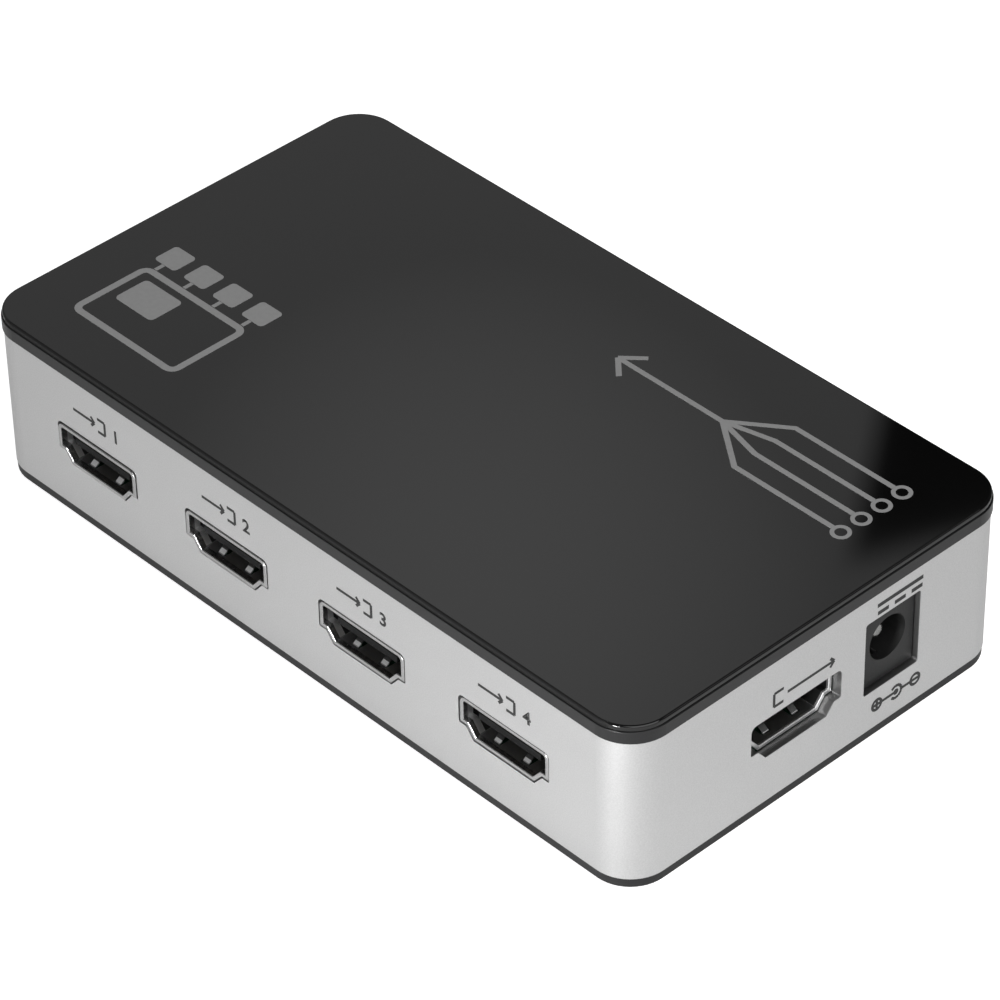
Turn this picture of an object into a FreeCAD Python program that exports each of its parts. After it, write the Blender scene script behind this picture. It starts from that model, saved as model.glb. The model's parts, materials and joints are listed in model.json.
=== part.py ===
import FreeCAD, Part
import os
import re

import Sketcher

# A four-input, one-output video switch with a picture-in-picture key.
# +X runs along the long side towards the output and the power inlet, the four
# inputs look towards -Y, the keys and lamps look towards +Y, and +Z is up.
# The origin is under the middle of the case, on the surface it stands on.

doc = FreeCAD.newDocument("VideoSwitch")

# Every driving size, in millimetres, kept in one sheet.
sizes = {
    # case
    "case_length": 117.0,
    "case_width": 65.0,
    "corner_radius": 5.6,
    "foot_height": 0.7,
    "strip_height": 1.4,
    "strip_inset": 0.1,
    "strip_edge": 0.15,
    "band_height": 21.35,
    "band_wall": 1.5,
    "rim_height": 1.75,
    "rim_overhang": 0.2,
    "rim_edge": 0.12,
    "plate_thickness": 0.8,
    "plate_inset": 0.05,
    "plate_edge": 0.3,
    "lip_height": 2.0,
    "lip_wall": 1.2,
    "lip_clearance": 0.1,
    "floor_thickness": 1.6,
    "label_length": 52.0,
    "label_width": 26.0,
    "label_depth": 0.2,
    # feet
    "foot_diameter": 9.0,
    "foot_seat": 0.5,
    "foot_edge": 0.3,
    "foot_from_end": 18.0,
    "foot_from_side": 7.5,
    # case screws
    "screw_from_end": 7.5,
    "screw_from_side": 7.5,
    "screw_diameter": 2.6,
    "screw_clearance": 0.15,
    "thread_gap": 0.04,
    "screw_length": 16.0,
    "head_diameter": 4.6,
    "head_height": 1.7,
    "head_clearance": 0.4,
    "head_recess": 2.6,
    "post_diameter": 7.4,
    "boss_diameter": 6.4,
    "drive_width": 0.7,
    "drive_length": 2.6,
    "drive_depth": 0.9,
    # circuit board
    "board_drop": 3.8,
    "board_thickness": 1.6,
    "board_margin": 1.2,
    "board_corner": 3.0,
    "board_screw_left": 8.5,
    "board_screw_right": 22.5,
    "board_screw_y": 4.0,
    "board_screw_length": 6.0,
    "small_post_diameter": 6.0,
    # video sockets
    "socket_height": 12.1,
    "socket_from_end": 21.225,
    "socket_inset": -0.2,
    "socket_inset_step": 0.08,
    "output_y": -4.66,
    "output_inset": 1.4,
    "opening_width": 14.0,
    "opening_height": 4.55,
    "opening_step": 1.6,
    "opening_ledge": 6.15,
    "opening_floor": 4.85,
    "opening_round": 0.5,
    "ledge_round": 0.25,
    "shell_wall": 0.4,
    "shell_depth": 11.2,
    "mouth_flare": 0.18,
    "mouth_length": 0.8,
    "mouth_round": 0.14,
    "cutout_gap": 0.35,
    "tongue_gap": 0.08,
    "tongue_width": 10.6,
    "tongue_thickness": 1.0,
    "tongue_height": 0.35,
    "tongue_start": 1.0,
    "tongue_root": 7.4,
    "contact_pitch": 1.0,
    "contact_width": 0.45,
    "contact_thickness": 0.15,
    "contact_start": 1.5,
    "contact_tail": 0.9,
    "contact_drop": 1.6,
    "contact_lower_drop": 0.3,
    "spring_x": 2.5,
    "spring_width": 1.0,
    "spring_slot": 1.4,
    "spring_start": 1.0,
    "spring_length": 5.0,
    "spring_lead": 0.2,
    "spring_touch": 1.1,
    "spring_root": 0.3,
    "spring_bend": 0.65,
    "spring_thickness": 0.28,
    "leg_width": 1.7,
    "leg_front": 2.6,
    "leg_back": 7.6,
    # power inlet
    "jack_y": 11.9,
    "jack_width": 9.2,
    "jack_height": 10.9,
    "jack_length": 14.0,
    "jack_inset": 0.8,
    "jack_gap": 0.2,
    "jack_axis": 6.1,
    "jack_bore": 6.3,
    "jack_bore_depth": 9.5,
    "jack_edge": 0.4,
    "inlet_round": 0.4,
    "pin_diameter": 2.1,
    "pin_recess": 1.5,
    "pin_tail": 0.6,
    "pin_round": 0.5,
    "blade_offset": 1.2,
    "blade_start": 1.6,
    "blade_seat": 1.2,
    "blade_gap": 0.2,
    "blade_length": 8.0,
    "blade_width": 1.8,
    "blade_thickness": 0.3,
    "blade_bend": 0.7,
    # keys
    "key_width": 9.0,
    "key_height": 4.6,
    "key_round": 1.6,
    "key_gap": 0.15,
    "key_proud": 0.5,
    "key_edge": 0.3,
    "key_flange": 1.0,
    "key_flange_width": 1.2,
    "key_travel": 0.3,
    "key_from_end": 18.5,
    "key_pitch": 16.0,
    "stem_diameter": 3.4,
    "stem_length": 1.9,
    "collar_diameter": 4.4,
    "collar_thickness": 0.8,
    "stem_gap": 0.08,
    "nub_diameter": 1.6,
    "nub_length": 0.25,
    "dome_gap": 0.05,
    "dome_diameter": 4.2,
    "dome_thickness": 0.1,
    "switch_bore": 4.8,
    "switch_width": 6.2,
    "switch_height": 6.4,
    "switch_depth": 3.8,
    "cover_thickness": 0.3,
    # lamps and remote control window
    "lamp_diameter": 2.0,
    "lamp_gap": 0.1,
    "lamp_pitch": 8.0,
    "lamp_from_window": 15.0,
    "guide_depth": 2.6,
    "guide_height": 4.0,
    "guide_foot": 1.5,
    "guide_room": 0.8,
    "guide_side": 0.5,
    "led_length": 2.0,
    "led_width": 1.2,
    "led_height": 0.6,
    "led_margin": 0.1,
    "window_from_end": 15.5,
    "window_width": 9.0,
    "window_height": 5.4,
    "window_gap": 0.1,
    "window_flange": 0.8,
    "receiver_width": 5.6,
    "receiver_height": 6.6,
    "receiver_depth": 3.0,
    "receiver_gap": 0.1,
    "receiver_corner": 0.5,
    # parts on the board
    "chip_height": 1.2,
    "small_chip_height": 0.9,
    "memory_chip_height": 1.5,
    "port_chip_length": 5.0,
    "port_chip_width": 3.0,
    "port_chip_gap": 4.0,
    "regulator_height": 2.3,
    "coil_width": 7.0,
    "coil_height": 4.0,
    "capacitor_diameter": 6.3,
    "capacitor_height": 5.4,
    "capacitor_foot": 0.8,
    "crystal_height": 3.4,
    "bit_length": 1.6,
    "bit_width": 0.8,
    "bit_height": 0.6,
    "bit_pitch": 2.6,
    "bit_gap": 4.0,
    # how far a cut reaches past the surface it opens
    "overcut": 1.0,
}

sheet = doc.addObject("Spreadsheet::Sheet", "Sizes")
for row, (alias, size) in enumerate(sizes.items(), start=1):
    sheet.set("A%d" % row, alias)
    sheet.set("B%d" % row, str(size))
    sheet.setAlias("B%d" % row, alias)
doc.recompute()

# Sizes that several pieces share, written as formulas of the sheet.
terms = {
    "half_length": "case_length / 2",
    "half_width": "case_width / 2",
    "board_top": "socket_height - board_drop",
    "foot_x": "case_length / 2 - foot_from_end",
    "foot_y": "case_width / 2 - foot_from_side",
    "screw_x": "case_length / 2 - screw_from_end",
    "screw_y": "case_width / 2 - screw_from_side",
    "socket_pitch": "(case_length - 2 * socket_from_end) / 3",
    "select_x": "key_from_end - case_length / 2",
    "picture_x": "key_from_end + key_pitch - case_length / 2",
    "window_x": "case_length / 2 - window_from_end",
    "power_lamp_x": "case_length / 2 - window_from_end - lamp_from_window",
    "band_base": "foot_height + strip_height",
    "band_top": "foot_height + strip_height + band_height",
    "plate_base": "foot_height + strip_height + band_height + rim_height",
    "floor_top": "foot_height + floor_thickness",
    "board_base": "socket_height - board_drop - board_thickness",
    "inner_face": "case_width / 2 - band_wall",
    "slant": "(opening_ledge - opening_floor) / opening_step",
    "head_seat": "foot_height + head_recess",
    "board_edge": "case_width / 2 - band_wall - board_margin",
    "board_reach": "case_length / 2 - band_wall - board_margin",
    "flange_front": "case_width / 2 - band_wall - key_gap",
    "stem_front": "case_width / 2 - band_wall - key_gap - key_flange",
    "cover_back": "case_width / 2 - band_wall - key_gap - key_flange - stem_length + collar_thickness",
    "nub_end": "case_width / 2 - band_wall - key_gap - key_flange - stem_length - nub_length",
    "dome_top": "case_width / 2 - band_wall - key_gap - key_flange - stem_length - nub_length"
                " - key_travel - dome_gap",
    "lift": "board_drop - opening_height / 2 - shell_wall",
}


def formula(text):
    """Turn words into cells of the sheet, opening the shared terms first."""
    while any(re.search(r"\b%s\b" % term, text) for term in terms):
        for term, meaning in terms.items():
            text = re.sub(r"\b%s\b" % term, "(%s)" % meaning, text)
    return re.sub(r"[a-z]+(_[a-z]+)+|\b[a-z_]+\b", lambda word: cell(word.group(0)), text)


def cell(word):
    return "Sizes.%s" % word if word in sizes else word


def number(text):
    """The present value of a formula, in millimetres."""
    answer = sheet.evalExpression(formula(text))
    return float(getattr(answer, "Value", answer))


def bind(thing, path, text):
    thing.setExpression(path, formula(text))


def place(thing, x="0", y="0", z="0"):
    for axis, text in (("x", x), ("y", y), ("z", z)):
        bind(thing, "Placement.Base.%s" % axis, text)


def turn(thing, degrees):
    """Turn a piece about the vertical before it is placed."""
    thing.Placement = FreeCAD.Placement(
        FreeCAD.Vector(), FreeCAD.Rotation(FreeCAD.Vector(0, 0, 1), degrees)
    )


def new_body(label):
    body = doc.addObject("PartDesign::Body", label)
    body.Label = label
    return body


def new_sketch(body, plane_role, offset="0"):
    """A sketch on one of the body's own planes, moved out along its normal."""
    sketch = body.newObject("Sketcher::SketchObject", body.Name + "_sketch")
    plane = [f for f in body.Origin.OriginFeatures if f.Role == plane_role][0]
    sketch.AttachmentSupport = [(plane, "")]
    sketch.MapMode = "FlatFace"
    bind(sketch, "AttachmentOffset.Base.z", offset)
    return Drawing(sketch)


class Drawing:
    """Collects the lines and constraints of one sketch, then adds them in one go."""

    def __init__(self, sketch):
        self.sketch = sketch
        self.shapes = []
        self.rules = []
        self.sized = []

    def add(self, shape):
        self.shapes.append(shape)
        return len(self.shapes) - 1

    def rule(self, *what):
        self.rules.append(Sketcher.Constraint(*what))

    def measure(self, text, *what):
        self.sized.append((len(self.rules), text))
        self.rules.append(Sketcher.Constraint(*what, number(text)))

    def finish(self):
        self.sketch.addGeometry(self.shapes)
        self.sketch.addConstraint(self.rules)
        for index, text in self.sized:
            bind(self.sketch, "Constraints[%d]" % index, text)
        doc.recompute()
        return self.sketch


def outline(drawing, corners):
    """A closed outline of straight lines through corners, each given as (across, up)."""
    points = [FreeCAD.Vector(number(x), number(y), 0) for x, y in corners]
    lines = [
        drawing.add(Part.LineSegment(point, points[(i + 1) % len(points)]))
        for i, point in enumerate(points)
    ]
    for i, (x, y) in enumerate(corners):
        drawing.rule("Coincident", lines[i - 1], 2, lines[i], 1)
        drawing.measure(x, "DistanceX", -1, 1, lines[i], 1)
        drawing.measure(y, "DistanceY", -1, 1, lines[i], 1)


def rectangle(drawing, x, y, width, height):
    """A rectangle about a centre."""
    left, right = "%s - (%s) / 2" % (x, width), "%s + (%s) / 2" % (x, width)
    low, high = "%s - (%s) / 2" % (y, height), "%s + (%s) / 2" % (y, height)
    outline(drawing, [(left, low), (right, low), (right, high), (left, high)])


def circle(drawing, x, y, diameter):
    middle = FreeCAD.Vector(number(x), number(y), 0)
    ring = drawing.add(Part.Circle(middle, FreeCAD.Vector(0, 0, 1), number(diameter) / 2))
    drawing.measure(x, "DistanceX", -1, 1, ring, 3)
    drawing.measure(y, "DistanceY", -1, 1, ring, 3)
    drawing.measure(diameter, "Diameter", ring)


def socket_outline(drawing, x, y, grow):
    """The stepped mouth of a video socket, grown outwards all round."""
    widen = "(%s) * (sqrt(1 + (slant) ^ 2) - slant)" % grow
    top = "(opening_height / 2 + %s)" % grow
    ledge = "(opening_height / 2 - opening_step + %s)" % grow
    half = [
        ("(opening_width / 2 + %s)" % grow, "+ " + top),
        ("(opening_width / 2 + %s)" % grow, "- " + ledge),
        ("(opening_ledge + %s)" % widen, "- " + ledge),
        ("(opening_floor + %s)" % widen, "- " + top),
    ]
    right = [("%s + %s" % (x, across), "%s %s" % (y, up)) for across, up in half]
    left = [("%s - %s" % (x, across), "%s %s" % (y, up)) for across, up in half]
    outline(drawing, right + left[::-1])


def extrude(kind, body, drawing, length, backwards):
    before = body.Shape.Volume if body.Tip else 0
    sketch = drawing.finish()
    feature = body.newObject("PartDesign::" + kind, body.Name + "_" + kind.lower())
    feature.Profile = sketch
    bind(feature, "Length", length)
    feature.Reversed = backwards
    doc.recompute()
    gained = body.Shape.Volume - before
    if gained * (1 if kind == "Pad" else -1) < 1e-4:
        raise ValueError("%s changed its volume by %.3f" % (feature.Name, gained))
    return feature


def pad(body, drawing, length, backwards=False):
    return extrude("Pad", body, drawing, length, backwards)


def pocket(body, drawing, length, backwards=False):
    return extrude("Pocket", body, drawing, length, backwards)


def repeat(body, feature, pitch, count):
    """Repeat a feature along the body's X axis."""
    row = body.newObject("PartDesign::LinearPattern", body.Name + "_row")
    row.Originals = [feature]
    row.Direction = ([f for f in body.Origin.OriginFeatures if f.Role == "X_Axis"][0], [""])
    bind(row, "Length", "(%s) * %d" % (pitch, count - 1))
    row.Occurrences = count
    body.Tip = row
    doc.recompute()


def round_edges(body, radius, *tests):
    """Round the edges that any of the tests on an edge picks out."""
    base = body.Tip
    chosen = [
        "Edge%d" % (i + 1)
        for i, edge in enumerate(base.Shape.Edges)
        if any(test(edge) for test in tests)
    ]
    if not chosen:
        raise ValueError("%s has no such edges to round" % body.Name)
    feature = body.newObject("PartDesign::Fillet", body.Name + "_round")
    feature.Base = (base, chosen)
    bind(feature, "Radius", radius)
    doc.recompute()


def level_edges(axis, text):
    """A test for edges that lie wholly at one level of an axis."""
    level = number(text)

    def wanted(edge):
        low = getattr(edge.BoundBox, axis.upper() + "Min")
        high = getattr(edge.BoundBox, axis.upper() + "Max")
        return abs(low - level) < 1e-4 and abs(high - level) < 1e-4

    return wanted


def straight_edges(axis, **limits):
    """A test for straight edges along an axis whose middles lie within limits."""
    spans = {name: (number(low), number(high)) for name, (low, high) in limits.items()}

    def wanted(edge):
        if edge.Curve.TypeId != "Part::GeomLine":
            return False
        if abs(abs(getattr(edge.Curve.Direction, axis)) - 1) > 1e-6:
            return False
        middle = edge.CenterOfMass
        return all(low <= getattr(middle, name) <= high for name, (low, high) in spans.items())

    return wanted


def corner_edges(grow):
    """A test for the upright edges at the corners of the case plan, grown by an amount."""
    side = number("half_length + (%s)" % grow)
    across = number("half_width + (%s)" % grow)

    def wanted(edge):
        middle = edge.CenterOfMass
        return abs(abs(middle.x) - side) < 1e-3 and abs(abs(middle.y) - across) < 1e-3

    return wanted


def case_plan(body, offset, grow):
    """A sketch with the plan of the case, grown outwards all round, its corners sharp."""
    plan = new_sketch(body, "XY_Plane", offset)
    rectangle(plan, "0", "0", "case_length + 2 * (%s)" % grow, "case_width + 2 * (%s)" % grow)
    return plan


def round_corners(body, grow):
    round_edges(body, "corner_radius + (%s)" % grow, corner_edges(grow))


def corner_points(x, y):
    return [("%s * (%d)" % (x, i), "%s * (%d)" % (y, j)) for i in (-1, 1) for j in (-1, 1)]


def circles(drawing, points, diameter):
    for x, y in points:
        circle(drawing, x, y, diameter)


def box(label, x, y, z, length, width, height):
    """A block given by its middle in plan and the level it stands on."""
    block = doc.addObject("Part::Box", label)
    block.Label = label
    bind(block, "Length", length)
    bind(block, "Width", width)
    bind(block, "Height", height)
    place(block, "%s - (%s) / 2" % (x, length), "%s - (%s) / 2" % (y, width), z)
    return block


def group(label, pieces):
    """Several separate solids that count as one sub-part."""
    compound = doc.addObject("Part::Compound", label)
    compound.Label = label
    compound.Links = pieces
    return compound


made = []
screw_points = corner_points("screw_x", "screw_y")
foot_points = corner_points("foot_x", "foot_y")
board_screw_points = [
    ("(board_screw_left - half_length)", "board_screw_y"),
    ("(half_length - board_screw_right)", "board_screw_y"),
]
socket_centres = ["(socket_from_end - half_length + socket_pitch * %d)" % i for i in range(4)]
lamp_centres = ["(power_lamp_x - lamp_pitch * %d)" % lamp for lamp in range(5)]
key_centres = {"select": "select_x", "picture": "picture_x"}
cutout_grow = "(shell_wall + cutout_gap)"
upper_contacts = 10


def make_side_band():
    """The silver wall round the case, open above and below."""
    body = new_body("side_band")
    pad(body, case_plan(body, "band_base", "0"), "band_height")
    pocket(body, case_plan(body, "band_top", "0 - band_wall"), "band_height")
    round_corners(body, "0")
    round_corners(body, "0 - band_wall")

    inputs = new_sketch(body, "XZ_Plane", "half_width + overcut")
    for centre in socket_centres:
        socket_outline(inputs, centre, "socket_height", cutout_grow)
    pocket(body, inputs, "band_wall + 2 * overcut")
    side = new_sketch(body, "YZ_Plane", "half_length + overcut")
    socket_outline(side, "output_y", "socket_height", cutout_grow)
    pocket(body, side, "band_wall + 2 * overcut")
    front = {"y": ("0 - half_width", "0 - inner_face")}
    end = {
        "x": ("half_length - band_wall", "half_length"),
        "y": ("output_y - opening_width", "output_y + opening_width"),
    }
    upper = {"z": ("socket_height", "socket_height + opening_height")}
    lower = {"z": ("socket_height - opening_height", "socket_height")}
    round_edges(body, "opening_round + cutout_gap",
                straight_edges("y", **front, **upper), straight_edges("x", **end, **upper))
    round_edges(body, "ledge_round",
                straight_edges("y", **front, **lower), straight_edges("x", **end, **lower))

    inlet = new_sketch(body, "YZ_Plane", "half_length + overcut")
    rectangle(inlet, "jack_y", "board_top + jack_height / 2",
              "jack_width + 2 * jack_gap", "jack_height + 2 * jack_gap")
    pocket(body, inlet, "band_wall + 2 * overcut")
    inlet_side = "(jack_width / 2 + 2 * jack_gap)"
    round_edges(body, "inlet_round", straight_edges(
        "x", x=end["x"], y=("jack_y - " + inlet_side, "jack_y + " + inlet_side)))
    back = new_sketch(body, "XZ_Plane", "0 - half_width - overcut")
    for centre in key_centres.values():
        rectangle(back, centre, "socket_height", "key_width + 2 * key_gap", "key_height + 2 * key_gap")
    rectangle(back, "window_x", "socket_height",
              "window_width + 2 * window_gap", "window_height + 2 * window_gap")
    circles(back, [(centre, "socket_height") for centre in lamp_centres],
            "lamp_diameter + 2 * lamp_gap")
    pocket(body, back, "band_wall + 2 * overcut", backwards=True)
    round_edges(body, "key_round + key_gap",
                straight_edges("y", y=("inner_face", "half_width")))
    made.append(body)


def make_top_cover():
    """The black cover: its rim, the lip inside the band and four screw bosses."""
    body = new_body("top_cover")
    lip = "0 - band_wall - lip_clearance"
    pad(body, case_plan(body, "band_top - lip_height", lip), "lip_height")
    pocket(body, case_plan(body, "band_top", lip + " - lip_wall"), "lip_height")
    pad(body, case_plan(body, "band_top", "rim_overhang"), "rim_height")
    for grow in (lip, lip + " - lip_wall", "rim_overhang"):
        round_corners(body, grow)
    round_edges(body, "rim_edge", level_edges("z", "plate_base"))

    bosses = new_sketch(body, "XY_Plane", "board_top")
    circles(bosses, screw_points, "boss_diameter")
    pad(body, bosses, "band_top - board_top")
    holes = new_sketch(body, "XY_Plane", "board_top")
    circles(holes, screw_points, "screw_diameter + 2 * thread_gap")
    pocket(body, holes, "head_seat + screw_length + overcut - board_top", backwards=True)
    made.append(body)


def make_top_plate():
    """The glossy plate glued on the cover, a little in from its rim."""
    body = new_body("top_plate")
    inset = "rim_overhang - rim_edge - plate_inset"
    pad(body, case_plan(body, "plate_base", inset), "plate_thickness")
    round_corners(body, inset)
    round_edges(body, "plate_edge", level_edges("z", "plate_base + plate_thickness"))
    made.append(body)


def make_bottom_cover():
    """The black tray: the strip that shows, a lip inside the band, posts and seats."""
    body = new_body("bottom_cover")
    lip = "0 - band_wall - lip_clearance"
    pad(body, case_plan(body, "foot_height", "0 - strip_inset"), "strip_height")
    pad(body, case_plan(body, "band_base", lip), "lip_height")
    pocket(body, case_plan(body, "band_base + lip_height", lip + " - lip_wall"),
           "band_base + lip_height - floor_top")
    for grow in ("0 - strip_inset", lip, lip + " - lip_wall"):
        round_corners(body, grow)
    round_edges(body, "strip_edge", level_edges("z", "foot_height"))

    posts = new_sketch(body, "XY_Plane", "floor_top")
    circles(posts, screw_points, "post_diameter")
    circles(posts, board_screw_points, "small_post_diameter")
    pad(body, posts, "board_base - floor_top")
    heads = new_sketch(body, "XY_Plane", "foot_height")
    circles(heads, screw_points, "head_diameter + head_clearance")
    pocket(body, heads, "head_recess", backwards=True)
    shanks = new_sketch(body, "XY_Plane", "foot_height")
    circles(shanks, screw_points, "screw_diameter + 2 * screw_clearance")
    pocket(body, shanks, "board_base - foot_height", backwards=True)
    threads = new_sketch(body, "XY_Plane", "board_base")
    circles(threads, board_screw_points, "screw_diameter + 2 * thread_gap")
    pocket(body, threads, "board_screw_length + overcut / 2 - board_thickness")

    seats = new_sketch(body, "XY_Plane", "foot_height")
    circles(seats, foot_points, "foot_diameter")
    pocket(body, seats, "foot_seat", backwards=True)
    label = new_sketch(body, "XY_Plane", "foot_height")
    rectangle(label, "0", "0", "label_length", "label_width")
    pocket(body, label, "label_depth", backwards=True)
    made.append(body)


def make_feet():
    for index, (x, y) in enumerate(foot_points, start=1):
        body = new_body("foot_%d" % index)
        disc = new_sketch(body, "XY_Plane")
        circle(disc, "0", "0", "foot_diameter")
        pad(body, disc, "foot_height + foot_seat")
        round_edges(body, "foot_edge", level_edges("z", "0"))
        place(body, x, y)
        made.append(body)


def screw(label, x, y, seat, length, head_below):
    """A pan-head screw with a cross recess, its head under or over its seat."""
    way = 1 if head_below else -1
    head = doc.addObject("Part::Cylinder", label + "_head")
    bind(head, "Radius", "head_diameter / 2")
    bind(head, "Height", "head_height")
    shank = doc.addObject("Part::Cylinder", label + "_shank")
    bind(shank, "Radius", "screw_diameter / 2")
    bind(shank, "Height", length)
    if head_below:
        place(head, x, y, "%s - head_height" % seat)
        place(shank, x, y, seat)
        drive = "%s - head_height" % seat
    else:
        place(head, x, y, seat)
        place(shank, x, y, "%s - (%s)" % (seat, length))
        drive = "%s + head_height - drive_depth" % seat
    whole = doc.addObject("Part::Fuse", label + "_whole")
    whole.Base, whole.Tool = head, shank
    cross = doc.addObject("Part::MultiFuse", label + "_cross")
    cross.Shapes = [
        box(label + "_slot_a", x, y, drive, "drive_length", "drive_width", "drive_depth"),
        box(label + "_slot_b", x, y, drive, "drive_width", "drive_length", "drive_depth"),
    ]
    cut = doc.addObject("Part::Cut", label)
    cut.Base, cut.Tool = whole, cross
    return cut


def make_screws():
    cover = [
        screw("cover_screw_%d" % i, x, y, "head_seat", "screw_length", True)
        for i, (x, y) in enumerate(screw_points, start=1)
    ]
    board = [
        screw("board_screw_%d" % i, x, y, "board_top", "board_screw_length", False)
        for i, (x, y) in enumerate(board_screw_points, start=1)
    ]
    made.append(group("cover_screws", cover))
    made.append(group("board_screws", board))


def make_board():
    """The circuit board, held between the posts below and the bosses above."""
    body = new_body("main_board")
    plan = new_sketch(body, "XY_Plane", "board_base")
    rectangle(plan, "0", "0", "2 * board_reach", "2 * board_edge")
    pad(body, plan, "board_thickness")
    round_edges(body, "board_corner", straight_edges("z"))
    holes = new_sketch(body, "XY_Plane", "board_top")
    circles(holes, screw_points + board_screw_points, "screw_diameter + 2 * screw_clearance")
    pocket(body, holes, "board_thickness")
    made.append(body)


def stand_socket(piece, x, y, turned):
    """Put a socket piece, drawn with its mouth at the origin and facing -Y, in its place."""
    if turned:
        turn(piece, 90)
    place(piece, x, y, "socket_height")
    made.append(piece)


def make_shell(label, x, y, turned):
    """The metal shell of a socket, with its springs and the legs it stands on."""
    body = new_body(label)
    outer = new_sketch(body, "XZ_Plane")
    socket_outline(outer, "0", "0", "shell_wall")
    pad(body, outer, "shell_depth", backwards=True)
    upper = "0", "opening_height"
    round_edges(body, "opening_round + shell_wall", straight_edges("y", z=upper))
    mouth = new_sketch(body, "XZ_Plane")
    socket_outline(mouth, "0", "0", "shell_wall + mouth_flare")
    pad(body, mouth, "mouth_length", backwards=True)
    round_edges(body, "opening_round + shell_wall + mouth_flare",
                straight_edges("y", y=("0", "mouth_length"), z=upper))
    inner = new_sketch(body, "XZ_Plane")
    socket_outline(inner, "0", "0", "0")
    pocket(body, inner, "shell_depth")
    inside = "opening_height / 2 - 0.01", "opening_height / 2 + 0.01"
    round_edges(body, "opening_round", straight_edges("y", z=inside))
    round_edges(body, "mouth_round", level_edges("y", "0"))

    slots = new_sketch(body, "XY_Plane", "0 - opening_height / 2 - shell_wall - overcut")
    for side in ("spring_x", "0 - spring_x"):
        rectangle(slots, side, "spring_start + spring_length / 2", "spring_slot", "spring_length")
    pocket(body, slots, "opening_height + 2 * shell_wall + 2 * overcut", backwards=True)
    root = "spring_start + spring_length"
    bend = "spring_start + spring_touch"
    lead = "spring_start + spring_lead"
    blades = new_sketch(body, "YZ_Plane", "0 - spring_x - spring_width / 2")
    for up in ("1", "(0 - 1)"):
        wall = "%s * (opening_height / 2" % up
        outline(blades, [
            (root + " + spring_root", wall + ")"),
            (root, wall + ")"),
            (bend, wall + " - spring_bend)"),
            (lead, wall + ")"),
            (lead, wall + " + spring_thickness)"),
            (bend, wall + " - spring_bend + spring_thickness)"),
            (root, wall + " + spring_thickness)"),
            (root + " + spring_root", wall + " + spring_thickness)"),
        ])
    repeat(body, pad(body, blades, "spring_width"), "2 * spring_x", 2)

    legs = new_sketch(body, "XY_Plane", "0 - opening_height / 2 - shell_wall - lift")
    for side in ("1", "(0 - 1)"):
        for middle in ("leg_front", "leg_back"):
            rectangle(legs, "%s * (opening_width / 2 + shell_wall / 2)" % side, middle,
                      "shell_wall", "leg_width")
    pad(body, legs, "lift + shell_wall + opening_height / 2")
    stand_socket(body, x, y, turned)


def make_tongue(label, x, y, turned):
    """The black insulator: a block in the back of the shell and the tongue it carries."""
    body = new_body(label)
    block = new_sketch(body, "XZ_Plane", "0 - tongue_root")
    socket_outline(block, "0", "0", "(0 - tongue_gap)")
    pad(body, block, "shell_depth - tongue_root", backwards=True)
    round_edges(body, "opening_round", straight_edges("y", z=("0", "opening_height")))
    plate = new_sketch(body, "XZ_Plane", "0 - tongue_root")
    rectangle(plate, "0", "tongue_height", "tongue_width", "tongue_thickness")
    pad(body, plate, "tongue_root - tongue_start")
    slots = new_sketch(body, "XZ_Plane", "0 - tongue_root")
    for side in ("1", "(0 - 1)"):
        rectangle(slots, "0",
                  "tongue_height + %s * (tongue_thickness + contact_thickness) / 2" % side,
                  "contact_pitch * %d" % upper_contacts, "contact_thickness")
    pocket(body, slots, "shell_depth - tongue_root")
    stand_socket(body, x, y, turned)


def make_contacts(label, x, y, turned):
    """Nineteen gold contacts: ten over the tongue and nine under it, down to the board."""
    body = new_body(label)
    body.AllowCompound = True
    ground = "0 - (opening_height / 2 + shell_wall + lift)"
    rows = (
        (upper_contacts, "tongue_height + tongue_thickness / 2", "shell_depth + contact_drop"),
        (upper_contacts - 1, "tongue_height - tongue_thickness / 2 - contact_thickness",
         "shell_depth + contact_lower_drop"),
    )
    for count, level, bend in rows:
        side = new_sketch(body, "YZ_Plane",
                          "0 - contact_pitch * %g - contact_width / 2" % ((count - 1) / 2))
        tail = bend + " + contact_thickness"
        outline(side, [
            ("contact_start", level),
            (bend, level),
            (bend, ground),
            (tail + " + contact_tail", ground),
            (tail + " + contact_tail", ground + " + contact_thickness"),
            (tail, ground + " + contact_thickness"),
            (tail, level + " + contact_thickness"),
            ("contact_start", level + " + contact_thickness"),
        ])
        repeat(body, pad(body, side, "contact_width"), "contact_pitch", count)
    stand_socket(body, x, y, turned)


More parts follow.
